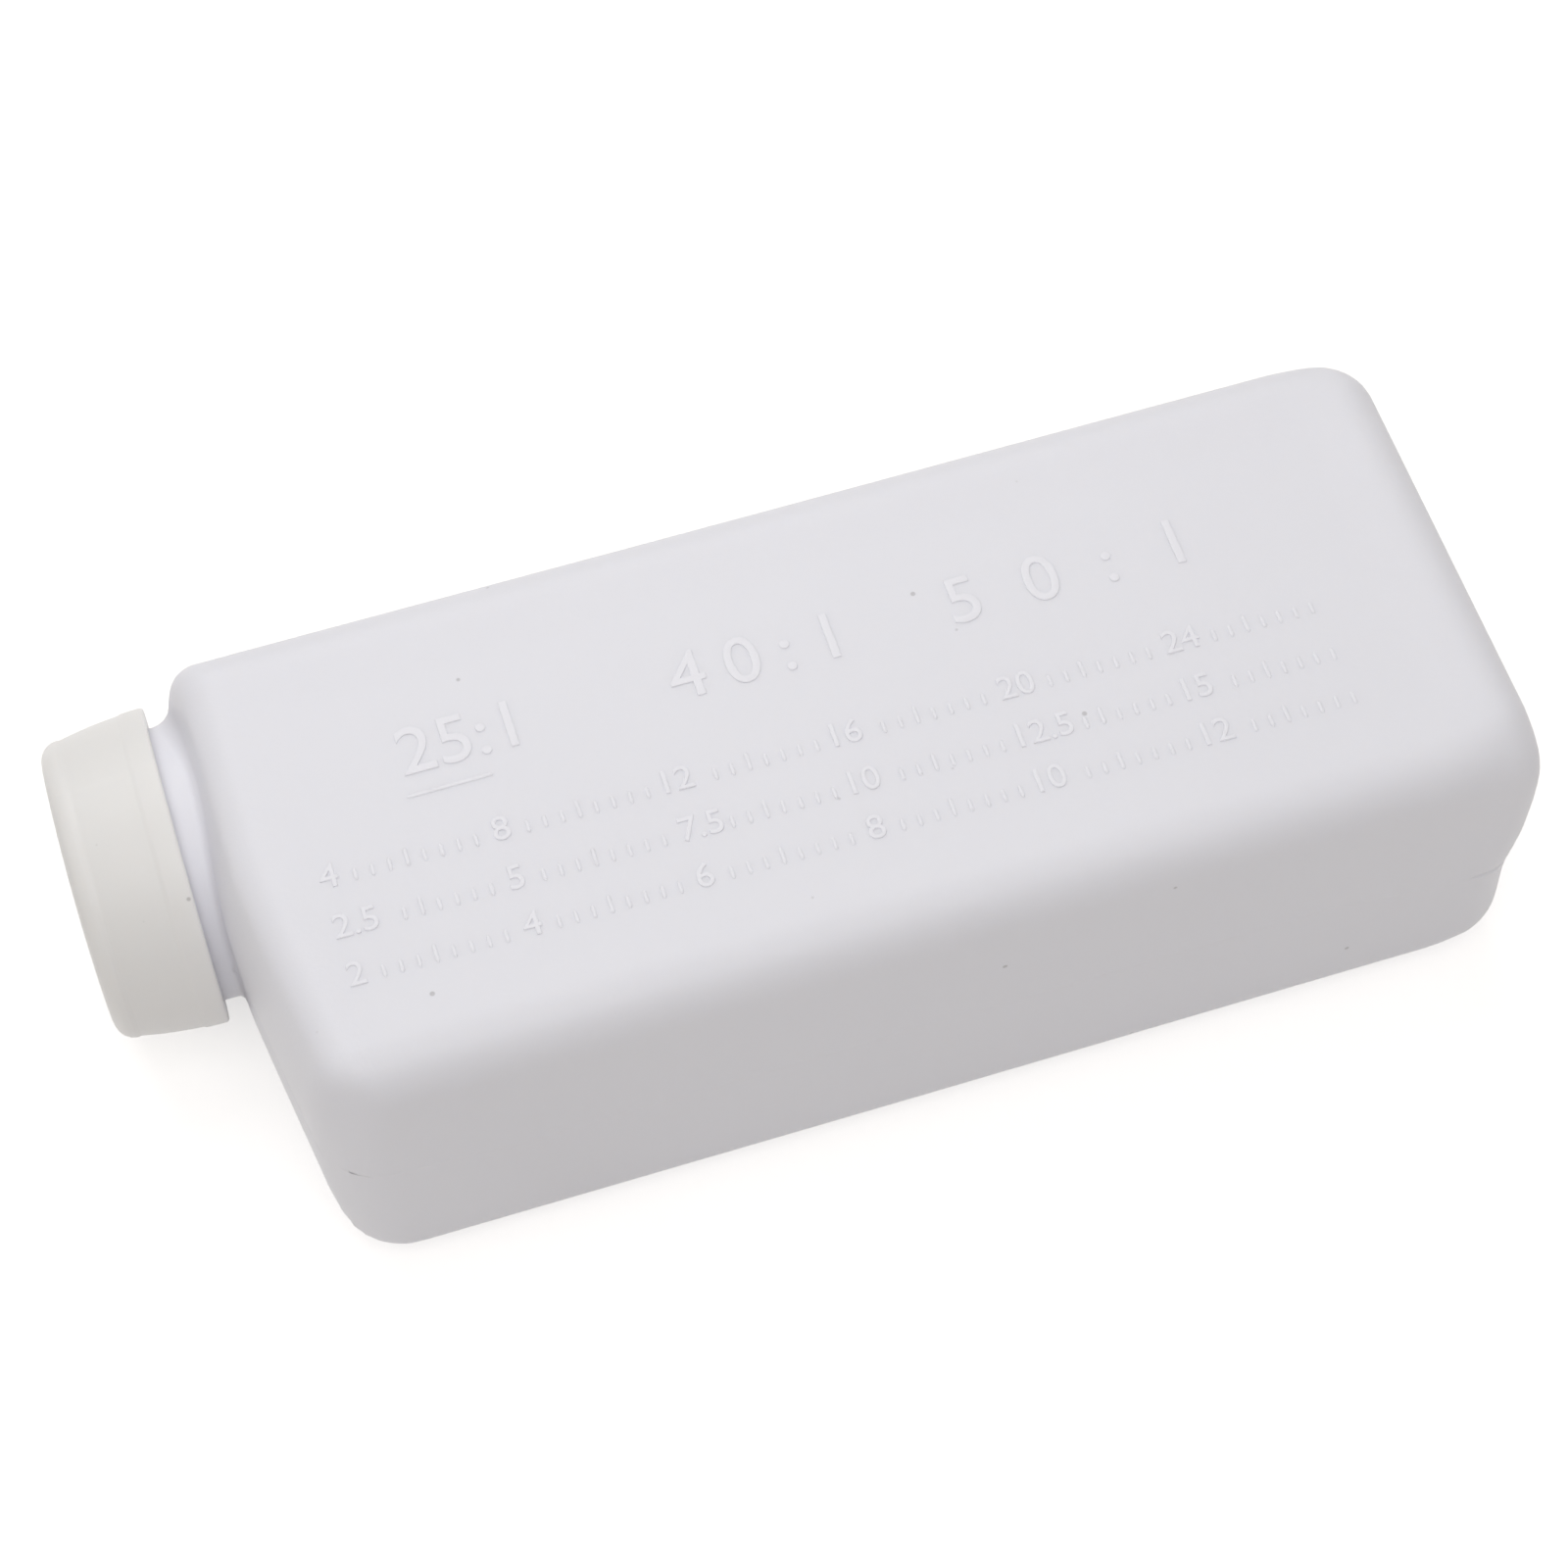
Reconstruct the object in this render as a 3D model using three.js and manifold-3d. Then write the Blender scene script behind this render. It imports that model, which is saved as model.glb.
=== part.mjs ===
// Fuel mixing bottle: a flat rectangular blow-moulded bottle with a wide offset neck,
// a plain screw cap and a sealing disc inside the cap.
// It lies on its back panel. The neck points along -X, the marked front panel faces +Z,
// and the neck is flush with the side of the body that faces +Y. Sizes are in millimetres.

import * as THREE from 'three';
import { mergeVertices } from 'three/addons/utils/BufferGeometryUtils.js';
import Module from 'manifold-3d';

// Body of the bottle
const bodyLength = 179;
const bodyWidth = 75.6;
const bodyDepth = 52;
const bodyWall = 1.2;
const edgeRadius = 7;
const baseRadius = 8;
const baseCornerRadius = 8;

// Shoulder: a land round the neck, a slope down to the near side, and a dome across the depth
const shoulderDrop = 5.1;
const shoulderDome = 4.3;
const shoulderDomePower = 4;
const shoulderEdgeRadius = 3;
const farCornerRadius = 3.5;
const nearCornerRadius = 8;
const shoulderLandMargin = 1.5;
const slopeBlendRadius = 14;

// Recess in the base, so that the bottle stands on the rim round it
const baseRecessDepth = 1.6;
const baseRecessMargin = 14;
const baseRecessTaper = 3;

// Neck
const neckRadius = 18.2;
const neckWall = 1.8;
const neckHeight = 14.5;
const neckSideStep = 0.1;
const neckRimRound = 0.5;

// Thread, shared by the neck and the cap
const threadPitch = 4.5;
const threadTurns = 2;
const threadHeight = 1.7;
const threadRootWidth = 2;
const threadCrestWidth = 0.8;
const threadSink = 0.4;
const threadClearance = 0.5;
const threadOverlap = 0.8;
const neckThreadStart = 1.8;
const capThreadStart = 1.6;

// Cap
const capWall = 2.7;
const capEndWall = 1.8;
const capTaper = 2.2;
const capCrown = 0.6;
const capEdgeRadius = 2.8;
const capEdgeStart = -15;
const shoulderGap = 2.8;
const pocketClearance = 0.4;

// Sealing disc
const discThickness = 1.5;
const discLip = 0.7;

// Gap kept between pieces that touch
const touchGap = 0.3;

// Fineness of the round stretches
const levelSteps = 10;
const cornerSteps = 5;
const lathSides = 48;
const arcSteps = 5;
const threadSides = 27;
const threadFadeSides = 3;

const bottleColor = 0xdcdce4;
const capColor = 0xe6e4df;
const discColor = 0xeeece4;

const wasm = await Module();
wasm.setup();

// Places worked out from the sizes. The body is centred on X and on its parting plane here.
const shoulderX = -bodyLength / 2;
const baseX = bodyLength / 2;
const neckY = bodyWidth / 2 - neckRadius - neckSideStep;
const neckRimX = shoulderX - neckHeight;
const neckRootX = shoulderX + farCornerRadius + shoulderDome;
const neckThreadX = neckRimX + neckThreadStart + threadTurns * threadPitch;
const discInnerX = neckRimX - touchGap;
const discOuterX = discInnerX - discThickness;
const capInnerEndX = discOuterX - touchGap;
const capRimX = shoulderX - shoulderGap;
const capEndX = capInnerEndX - capEndWall - capCrown;
const capHeight = capRimX - capEndX;
const capBoreRadius = neckRadius + threadHeight + threadClearance;
const capRimRadius = capBoreRadius + capWall;
const discRadius = neckRadius + discLip;
const pocketRadius = discRadius + pocketClearance;

// A closed triangle mesh becomes a solid that can be joined and cut.
function solidFromGeometry(geometry) {
  const bare = geometry.clone();
  bare.deleteAttribute('normal');
  bare.deleteAttribute('uv');
  const merged = mergeVertices(bare, 1e-4);
  const mesh = new wasm.Mesh({
    numProp: 3,
    vertProperties: new Float32Array(merged.attributes.position.array),
    triVerts: new Uint32Array(merged.index.array),
  });
  mesh.merge();
  return new wasm.Manifold(mesh);
}

function geometryFromSolid(solid) {
  const mesh = solid.getMesh();
  const geometry = new THREE.BufferGeometry();
  geometry.setAttribute('position', new THREE.BufferAttribute(new Float32Array(mesh.vertProperties), 3));
  geometry.setIndex(new THREE.BufferAttribute(new Uint32Array(mesh.triVerts), 1));
  geometry.computeVertexNormals();
  return geometry;
}

function indexedGeometry(points, triangles) {
  const geometry = new THREE.BufferGeometry();
  geometry.setAttribute('position', new THREE.Float32BufferAttribute(points, 3));
  geometry.setIndex(triangles);
  return geometry;
}

// Rings of equal length are joined side by side, and each end is closed to its middle point.
function loftRings(rings) {
  const count = rings[0].length;
  const points = rings.flat().flatMap((p) => p);
  const triangles = [];
  for (let level = 0; level < rings.length - 1; level += 1) {
    for (let i = 0; i < count; i += 1) {
      const a = level * count + i;
      const b = level * count + ((i + 1) % count);
      triangles.push(a, b, b + count, a, b + count, a + count);
    }
  }
  const last = (rings.length - 1) * count;
  const low = closeRing(points, rings[0]);
  const high = closeRing(points, rings[rings.length - 1]);
  for (let i = 0; i < count; i += 1) {
    const next = (i + 1) % count;
    triangles.push(low, next, i);
    triangles.push(high, last + i, last + next);
  }
  return indexedGeometry(points, triangles);
}

function closeRing(points, ring) {
  const middle = [0, 1, 2].map((axis) => ring.reduce((sum, p) => sum + p[axis], 0) / ring.length);
  points.push(...middle);
  return points.length / 3 - 1;
}

// A polygon's corners, each [x, y, radius], become arcs of a fixed number of points.
function roundedOutline(corners) {
  const outline = [];
  corners.forEach(([x, y, radius], i) => {
    const corner = new THREE.Vector2(x, y);
    const before = cornerPoint(corners, i - 1).sub(corner).normalize();
    const after = cornerPoint(corners, i + 1).sub(corner).normalize();
    const half = Math.acos(THREE.MathUtils.clamp(before.dot(after), -1, 1)) / 2;
    const inwards = before.clone().add(after).normalize();
    const centre = corner.clone().addScaledVector(inwards, radius / Math.sin(half));
    const first = corner.clone().addScaledVector(before, radius / Math.tan(half)).sub(centre);
    const lastAngle = Math.PI - 2 * half;
    for (let step = 0; step <= cornerSteps; step += 1) {
      const turned = first.clone().rotateAround(new THREE.Vector2(), (lastAngle * step) / cornerSteps);
      outline.push(turned.add(centre));
    }
  });
  return outline;
}

function cornerPoint(corners, i) {
  const [x, y] = corners[(i + corners.length) % corners.length];
  return new THREE.Vector2(x, y);
}

// How far a rounded edge has come in at height z, below the flat of a panel at height top.
function roundIn(z, top, radius) {
  const up = Math.max(0, Math.abs(z) - (top - radius));
  return radius - Math.sqrt(Math.max(0, radius * radius - up * up));
}

// The body's outline at height z, counter-clockwise, moved inwards by the inset.
function bodyRing(z, inset) {
  const top = bodyDepth / 2 - inset;
  const sideIn = roundIn(z, top, edgeRadius - inset);
  const baseIn = roundIn(z, top, baseRadius - inset);
  const endIn = roundIn(z, top, shoulderEdgeRadius - inset);
  const domeIn = shoulderDome * Math.abs(z / top) ** shoulderDomePower;
  const sideY = bodyWidth / 2 - inset - sideIn;
  const landX = shoulderX + inset + domeIn + endIn;
  const landY = neckY - neckRadius - shoulderLandMargin;
  const endX = baseX - inset - baseIn;
  const cornerAt = (radius) => Math.max(radius - inset - sideIn, bodyWall);
  const corners = [
    [landX, sideY, cornerAt(farCornerRadius)],
    [landX, landY, slopeBlendRadius],
    [landX + shoulderDrop, -sideY, cornerAt(nearCornerRadius)],
    [endX, -sideY, cornerAt(baseCornerRadius)],
    [endX, sideY, cornerAt(baseCornerRadius)],
  ];
  return roundedOutline(corners).map((p) => [p.x, p.y, z]);
}

// Levels crowd towards the two panels, where the edges are rounded.
function bodySolid(inset) {
  const top = bodyDepth / 2 - inset;
  const rings = [];
  for (let i = -levelSteps; i <= levelSteps; i += 1) {
    const z = top * Math.sin((Math.PI / 2) * (i / levelSteps));
    rings.push(bodyRing(z, inset));
  }
  return solidFromGeometry(loftRings(rings));
}

// The recess in the base narrows inwards. The inside of the bottle keeps clear of it by a wall.
function recessSolid(grow) {
  const floorX = baseX - baseRecessDepth - grow;
  const mouthX = baseX + bodyWall;
  const rings = [
    recessRing(floorX, baseRecessMargin + baseRecessTaper - grow),
    recessRing(baseX, baseRecessMargin - grow),
    recessRing(mouthX, baseRecessMargin - grow),
  ];
  return solidFromGeometry(loftRings(rings));
}

function recessRing(x, margin) {
  const halfY = bodyWidth / 2 - margin;
  const halfZ = bodyDepth / 2 - margin;
  const radius = Math.min(edgeRadius, halfZ / 2);
  const corners = [
    [-halfY, -halfZ, radius],
    [halfY, -halfZ, radius],
    [halfY, halfZ, radius],
    [-halfY, halfZ, radius],
  ];
  return roundedOutline(corners).map((p) => [x, p.x, p.y]);
}

// A profile of [x, radius] points is turned about the neck's axis.
function turnedSolid(profile) {
  const lathe = new THREE.LatheGeometry(profile.map(([x, r]) => new THREE.Vector2(r, -x)), lathSides);
  lathe.rotateZ(Math.PI / 2);
  lathe.translate(0, neckY, 0);
  return solidFromGeometry(lathe);
}

function arcPoints(centreX, centreR, radius, fromAngle, toAngle) {
  const points = [];
  for (let step = 0; step <= arcSteps; step += 1) {
    const angle = fromAngle + ((toAngle - fromAngle) * step) / arcSteps;
    points.push([centreX + radius * Math.sin(angle), centreR + radius * Math.cos(angle)]);
  }
  return points;
}

// A thread ridge: a trapezoid carried along a right-hand helix, fading in and out at its ends.
function threadSolid(startX, rootRadius, crestRadius) {
  const into = Math.sign(rootRadius - crestRadius) * threadSink;
  const steps = threadTurns * threadSides;
  const rings = [];
  for (let step = 0; step <= steps; step += 1) {
    const angle = (2 * Math.PI * step) / threadSides;
    const x = startX - (threadPitch * step) / threadSides;
    const fade = Math.min(1, (step + 1) / threadFadeSides, (steps - step + 1) / threadFadeSides);
    const crest = rootRadius + (crestRadius - rootRadius) * fade;
    const section = [
      [x + threadRootWidth / 2, rootRadius + into],
      [x + threadCrestWidth / 2, crest],
      [x - threadCrestWidth / 2, crest],
      [x - threadRootWidth / 2, rootRadius + into],
    ];
    if (crestRadius > rootRadius) section.reverse();
    rings.push(section.map(([px, r]) => [px, neckY + r * Math.cos(angle), -r * Math.sin(angle)]));
  }
  return solidFromGeometry(loftRings(rings));
}

function bottleGeometry() {
  const neckOuter = turnedSolid([
    [neckRootX, 0],
    [neckRootX, neckRadius],
    [neckRimX + neckRimRound, neckRadius],
    ...arcPoints(neckRimX + neckRimRound, neckRadius - neckRimRound, neckRimRound, 0, -Math.PI / 2),
    [neckRimX, 0],
  ]);
  const boreRadius = neckRadius - neckWall;
  const bore = turnedSolid([
    [neckRootX + neckWall, 0],
    [neckRootX + neckWall, boreRadius],
    [neckRimX - touchGap, boreRadius],
    [neckRimX - touchGap, 0],
  ]);
  const thread = threadSolid(neckThreadX, neckRadius, neckRadius + threadHeight);
  const outside = bodySolid(0).subtract(recessSolid(0)).add(neckOuter).add(thread);
  const inside = bodySolid(bodyWall).subtract(recessSolid(bodyWall)).add(bore);
  return geometryFromSolid(outside.subtract(inside));
}

// The cap's side curves in towards its end, and a round edge leads into the crowned end face.
function capOutside() {
  const sideRadius = (h) => capRimRadius - capTaper * (h / capHeight) ** 2;
  const sideHeight = capHeight - capCrown - capEdgeRadius;
  const profile = [[capRimX, 0]];
  for (let step = 0; step <= arcSteps; step += 1) {
    const h = (sideHeight * step) / arcSteps;
    profile.push([capRimX - h, sideRadius(h)]);
  }
  const edgeX = capRimX - sideHeight;
  const edgeR = sideRadius(sideHeight) - capEdgeRadius;
  const edgeStart = THREE.MathUtils.degToRad(capEdgeStart);
  profile.push(...arcPoints(edgeX, edgeR, capEdgeRadius, edgeStart, -Math.PI / 2));
  for (let step = arcSteps - 1; step >= 0; step -= 1) {
    const share = step / arcSteps;
    profile.push([capEndX + capCrown * share * share, edgeR * share]);
  }
  return profile;
}

function capGeometry() {
  const pocketX = neckRimX + touchGap;
  const hollow = turnedSolid([
    [capRimX + touchGap, 0],
    [capRimX + touchGap, capBoreRadius],
    [pocketX, capBoreRadius],
    [pocketX, pocketRadius],
    [capInnerEndX, pocketRadius],
    [capInnerEndX, 0],
  ]);
  const crestRadius = neckRadius + threadHeight - threadOverlap;
  const wantedX = capRimX - capThreadStart;
  const turnsApart = (wantedX - neckThreadX) / threadPitch + 0.5;
  const startX = wantedX - threadPitch * (turnsApart - Math.floor(turnsApart));
  const thread = threadSolid(startX, capBoreRadius, crestRadius);
  return geometryFromSolid(turnedSolid(capOutside()).subtract(hollow).add(thread));
}

function discGeometry() {
  return geometryFromSolid(turnedSolid([
    [discInnerX, 0],
    [discInnerX, discRadius],
    [discOuterX, discRadius],
    [discOuterX, 0],
  ]));
}

function piece(name, geometry, color, roughness) {
  const material = new THREE.MeshStandardMaterial({ color, roughness, metalness: 0 });
  const mesh = new THREE.Mesh(geometry, material);
  mesh.name = name;
  return mesh;
}

// The origin is under the middle of the part: the back panel lies at height zero.
const group = new THREE.Group();
group.add(piece('bottle', bottleGeometry(), bottleColor, 0.5));
group.add(piece('cap', capGeometry(), capColor, 0.4));
group.add(piece('sealing_disc', discGeometry(), discColor, 0.7));
const capSideY = neckY + capRimRadius;
group.position.set(
  -(capEndX + baseX) / 2,
  -(capSideY - bodyWidth / 2) / 2,
  bodyDepth / 2,
);

export default group;
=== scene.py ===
import math

import bmesh
import bpy
import numpy as np
from mathutils import Matrix, Vector


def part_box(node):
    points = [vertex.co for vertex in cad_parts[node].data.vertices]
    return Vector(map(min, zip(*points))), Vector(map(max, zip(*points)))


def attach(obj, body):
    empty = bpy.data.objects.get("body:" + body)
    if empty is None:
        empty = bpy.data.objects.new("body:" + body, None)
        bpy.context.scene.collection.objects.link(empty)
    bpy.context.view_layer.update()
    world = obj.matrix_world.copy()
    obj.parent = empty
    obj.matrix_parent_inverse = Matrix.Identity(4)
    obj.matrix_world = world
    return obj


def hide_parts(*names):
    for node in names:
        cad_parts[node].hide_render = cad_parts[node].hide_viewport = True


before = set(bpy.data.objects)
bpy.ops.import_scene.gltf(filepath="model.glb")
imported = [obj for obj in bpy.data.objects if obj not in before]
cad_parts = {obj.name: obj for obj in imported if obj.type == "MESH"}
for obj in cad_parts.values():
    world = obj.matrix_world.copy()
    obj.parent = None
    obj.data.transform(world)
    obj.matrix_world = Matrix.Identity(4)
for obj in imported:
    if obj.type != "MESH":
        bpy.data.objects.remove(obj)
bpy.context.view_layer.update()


# The view of the photograph: a long lens from above the near side and the neck's end,
# so that the cap's rim is seen edge-on.
CAMERA_FROM = (-0.07558, -0.28238, 0.50196)
CAMERA_TOWARDS = (0.00170, 0.00332, 0.0260)
CAMERA_ROLL = -2.67
CAMERA_LENS = 90.0


def place_camera(place, target, roll, lens):
    """The lens looks from place to target, and the frame is turned about that line by roll degrees."""
    data = bpy.data.cameras.new("camera")
    data.lens = lens
    data.clip_start = 0.01
    data.clip_end = 20.0
    camera = bpy.data.objects.new("camera", data)
    bpy.context.scene.collection.objects.link(camera)
    look = (Vector(target) - Vector(place)).to_track_quat("-Z", "Y")
    camera.rotation_mode = "QUATERNION"
    camera.rotation_quaternion = look @ Matrix.Rotation(math.radians(roll), 3, "Z").to_quaternion()
    camera.location = place
    bpy.context.scene.camera = camera


place_camera(CAMERA_FROM, CAMERA_TOWARDS, CAMERA_ROLL, CAMERA_LENS)


# The bottle is one blow-moulded piece of translucent white polyethylene: a flat rectangular
# body with a domed, sloping shoulder and a wide neck that is flush with one side and has a low
# collar at its foot. Its outside and inside are one skin, which turns over at the mouth.
MM = 0.001
bottle_low, bottle_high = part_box("bottle")
cap_low, cap_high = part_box("cap")
BODY_HEIGHT = bottle_high.z - bottle_low.z
BODY_MIDDLE_Z = (bottle_low.z + bottle_high.z) / 2
BASE_X = bottle_high.x
MOUTH_X = bottle_low.x
NEAR_Y = bottle_low.y
BODY_WIDTH = 75.6 * MM
BODY_MIDDLE_Y = NEAR_Y + BODY_WIDTH / 2
NECK_Y = (cap_low.y + cap_high.y) / 2
NECK_RADIUS = 18.2 * MM
NECK_HEIGHT = 14.5 * MM
SHOULDER_X = MOUTH_X + NECK_HEIGHT
ON_BODY_BLEND = 1.0 * MM
FAR_BLEND = 0.2 * BODY_WIDTH
BODY_WALL = 1.2 * MM
NECK_WALL = 1.8 * MM
LONG_EDGE_RADIUS = 7.0 * MM
BASE_EDGE_RADIUS = 8.0 * MM
BASE_PANEL_RADIUS = 6.5 * MM
NEAR_HEEL_RADII = (7.0 * MM, 5.0 * MM)
NEAR_HEEL_TAPER = (-10.0 * MM, 5.0 * MM)
NEAR_HEEL_BACK = 1.3 * MM
NEAR_HEEL_BACK_TAPER = (14.0 * MM, -10.0 * MM)
NEAR_HEEL_BACK_WIDTH = 0.4 * BODY_WIDTH
BASE_CORNER_RADII = (11.0 * MM, 9.5 * MM)
BASE_BLEND = 14.0 * MM
SHOULDER_EDGE_RADIUS = 3.0 * MM
NEAR_CORNER_RADIUS = 8.0 * MM
NEAR_CORNER_BLEND = 5.0 * MM
SHOULDER_DOME = 4.3 * MM
SHOULDER_DOME_POWER = 4.0
SHOULDER_DROP = 5.1 * MM
LAND_MARGIN = 1.5 * MM
SLOPE_BLEND = 3.0 * MM
NECK_FILLET = 1.0 * MM
NECK_FAR_FILLET = 2.6 * MM
NECK_DEPTH = 9.0 * MM
COLLAR_HEIGHT = 1.8 * MM
COLLAR_RISE = (-1.9 * MM, -0.7 * MM)
RECESS_DEPTH = 1.5 * MM
RECESS_MARGIN = 12.0 * MM
RECESS_SLOPE = 3.5 * MM
RECESS_RADIUS = 6.0 * MM
SEAM_HEIGHT = 0.06 * MM
SEAM_WIDTH = 0.22 * MM
SEAM_ON_NECK = 0.4
SEAM_RISE = 1.5 * MM
GROOVE_DEPTH = 0.3 * MM
GROOVE_WIDTH = 0.26 * MM
GROOVE_REACH = (5.5 * MM, 4.0 * MM)
PINCH_DEPTH = 1.2 * MM
PINCH_WIDTH = 0.3 * MM
PINCH_DROP = 3.6 * MM
PINCH_REACH = 8.5 * MM
PINCH_FADE = 1.2 * MM
VALLEY_DEPTH = 0.12 * MM
VALLEY_WIDTH = 4.5 * MM
VALLEY_FADE = 8.0 * MM
WALL_WAVE = 0.10 * MM
SHORT_WAVES = (21.0 * MM, 17.0 * MM)
LONG_WAVES = (47.0 * MM, 33.0 * MM, 25.0 * MM)
WAVE_START = 1.3
WAVE_SHARES = (0.6, 0.4)
PANEL_SINK = 0.3 * MM
PANEL_MARGIN = (6.0 * MM, 15.0 * MM)
SINK_PAST_MIDDLE = (0.6, 0.9)
FIELD_STEP = 0.01 * MM
MID_DEPTH_CROWDING = (0.12, 0.88)
MID_DEPTH_POWER = 2.6


def bell(value, width):
    """1 at zero, falling off as exp(-(value / width)^2)."""
    return np.exp(-(value / width) ** 2)


def smooth_step(low, high, value):
    """0 below low, 1 above high, and the cubic 3t^2 - 2t^3 between them."""
    t = np.clip((value - low) / (high - low), 0.0, 1.0)
    return t * t * (3.0 - 2.0 * t)


def mix(first, second, share):
    """The first value where share is 0, the second where it is 1, and a straight line between."""
    return first + (second - first) * share


def round_meet(a, b, radius):
    """The inside of both a and b, with their shared edge rounded:
    min(max(a, b), -r) + |max((a, b) + r, 0)|."""
    corner = np.hypot(np.maximum(a + radius, 0.0), np.maximum(b + radius, 0.0))
    return np.minimum(np.maximum(a, b), -radius) + corner


def round_join(a, b, radius):
    """The inside of a or b, with a fillet where they meet: max(min(a, b), r) - |max(r - (a, b), 0)|."""
    corner = np.hypot(np.maximum(radius - a, 0.0), np.maximum(radius - b, 0.0))
    return np.maximum(np.minimum(a, b), radius) - corner


def round_rectangle(y, z, half_y, half_z, radius):
    """Distance to a rectangle with round corners, negative inside it."""
    over_y = np.abs(y) - half_y + radius
    over_z = np.abs(z) - half_z + radius
    outside = np.hypot(np.maximum(over_y, 0.0), np.maximum(over_z, 0.0))
    return outside + np.minimum(np.maximum(over_y, over_z), 0.0) - radius


def shoulder_plane(y, z):
    """X of the shoulder: flat round the neck, then a slope down to the near side, and a dome over
    the depth."""
    land_edge = NECK_Y - NECK_RADIUS - LAND_MARGIN
    past = land_edge - y
    eased = (past + np.sqrt(past * past + SLOPE_BLEND ** 2)) / 2.0
    slope = SHOULDER_DROP / (land_edge - NEAR_Y)
    dome = SHOULDER_DOME * np.abs((z - BODY_MIDDLE_Z) / (BODY_HEIGHT / 2)) ** SHOULDER_DOME_POWER
    return SHOULDER_X + slope * eased + dome


def base_plane(y, z):
    """X of the base: a flat rim round a shallow recess. Its near lower part stands back a little."""
    inside = -round_rectangle(
        y - BODY_MIDDLE_Y, z - BODY_MIDDLE_Z,
        BODY_WIDTH / 2 - RECESS_MARGIN, BODY_HEIGHT / 2 - RECESS_MARGIN, RECESS_RADIUS)
    back = NEAR_HEEL_BACK * smooth_step(*NEAR_HEEL_BACK_TAPER, z - BODY_MIDDLE_Z)
    back = back * smooth_step(BODY_MIDDLE_Y, BODY_MIDDLE_Y - NEAR_HEEL_BACK_WIDTH, y)
    return BASE_X - np.maximum(back, RECESS_DEPTH * smooth_step(0.0, RECESS_SLOPE, inside))


def parting_line(x):
    """How far the parting line runs above mid depth: a little at the shoulder, and below it at the base."""
    rise = SEAM_RISE * smooth_step(SHOULDER_X + 4 * PINCH_REACH, SHOULDER_X + PINCH_REACH, x)
    return rise - PINCH_DROP * smooth_step(BASE_X - 4 * PINCH_REACH, BASE_X - PINCH_REACH, x)


def body_field(x, y, z):
    """The body between its base and shoulder, negative inside. The radius of each edge is mixed
    from the radii of the sides and corners that it runs through."""
    up = z - BODY_MIDDLE_Z
    past_panel = np.abs(up) - BODY_HEIGHT / 2
    past_side = np.abs(y - BODY_MIDDLE_Y) - BODY_WIDTH / 2
    at_far = smooth_step(BODY_MIDDLE_Y - FAR_BLEND, BODY_MIDDLE_Y + FAR_BLEND, y)
    base_corner = mix(*BASE_CORNER_RADII, at_far)
    corner = mix(LONG_EDGE_RADIUS, base_corner, smooth_step(BASE_X - BASE_BLEND, BASE_X, x))
    section = round_rectangle(
        y - BODY_MIDDLE_Y, up, BODY_WIDTH / 2 - SEAM_HEIGHT, BODY_HEIGHT / 2, corner)
    near_heel = mix(*NEAR_HEEL_RADII, smooth_step(*NEAR_HEEL_TAPER, up))
    side_heel = mix(near_heel, BASE_EDGE_RADIUS, at_far)
    to_side = smooth_step(-NEAR_CORNER_BLEND, NEAR_CORNER_BLEND, past_side - past_panel)
    body = round_meet(section, x - base_plane(y, z), mix(BASE_PANEL_RADIUS, side_heel, to_side))
    to_near = smooth_step(-NEAR_CORNER_BLEND, NEAR_CORNER_BLEND, (NEAR_Y - y) - past_panel)
    edge = mix(SHOULDER_EDGE_RADIUS, NEAR_CORNER_RADIUS, to_near)
    return round_meet(body, shoulder_plane(y, z) - x, edge)


def neck_field(x, y, z):
    """A cylinder with a low collar at its foot, which runs a little way into the body."""
    collar = COLLAR_HEIGHT * smooth_step(*COLLAR_RISE, x - cap_high.x)
    neck = np.hypot(y - NECK_Y, z - BODY_MIDDLE_Z) - NECK_RADIUS - collar
    return round_meet(neck, x - (SHOULDER_X + NECK_DEPTH), NECK_DEPTH / 3)


def parting_relief(x, y, z):
    """What the mould's parting leaves, counted inwards: the pinch-off line in a shallow hollow at
    the base, a low seam along the body, and a fine groove over the shoulder."""
    parting = z - BODY_MIDDLE_Z - parting_line(x)
    base_start = BASE_X - PINCH_REACH
    near_base = smooth_step(base_start - PINCH_FADE, base_start + PINCH_FADE, x)
    at_base = smooth_step(base_start - VALLEY_FADE, base_start + VALLEY_FADE, x)
    on_body = smooth_step(SHOULDER_X - ON_BODY_BLEND, SHOULDER_X + ON_BODY_BLEND, x)
    on_shoulder = on_body * smooth_step(*GROOVE_REACH, x - SHOULDER_X)
    pinch = PINCH_DEPTH * near_base * bell(parting, PINCH_WIDTH)
    valley = VALLEY_DEPTH * at_base * bell(parting, VALLEY_WIDTH)
    groove = GROOVE_DEPTH * on_shoulder * bell(parting, GROOVE_WIDTH)
    seam_share = (1.0 - near_base) * mix(SEAM_ON_NECK, 1.0, on_body)
    return pinch + valley + groove - SEAM_HEIGHT * seam_share * bell(parting, SEAM_WIDTH)


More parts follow.
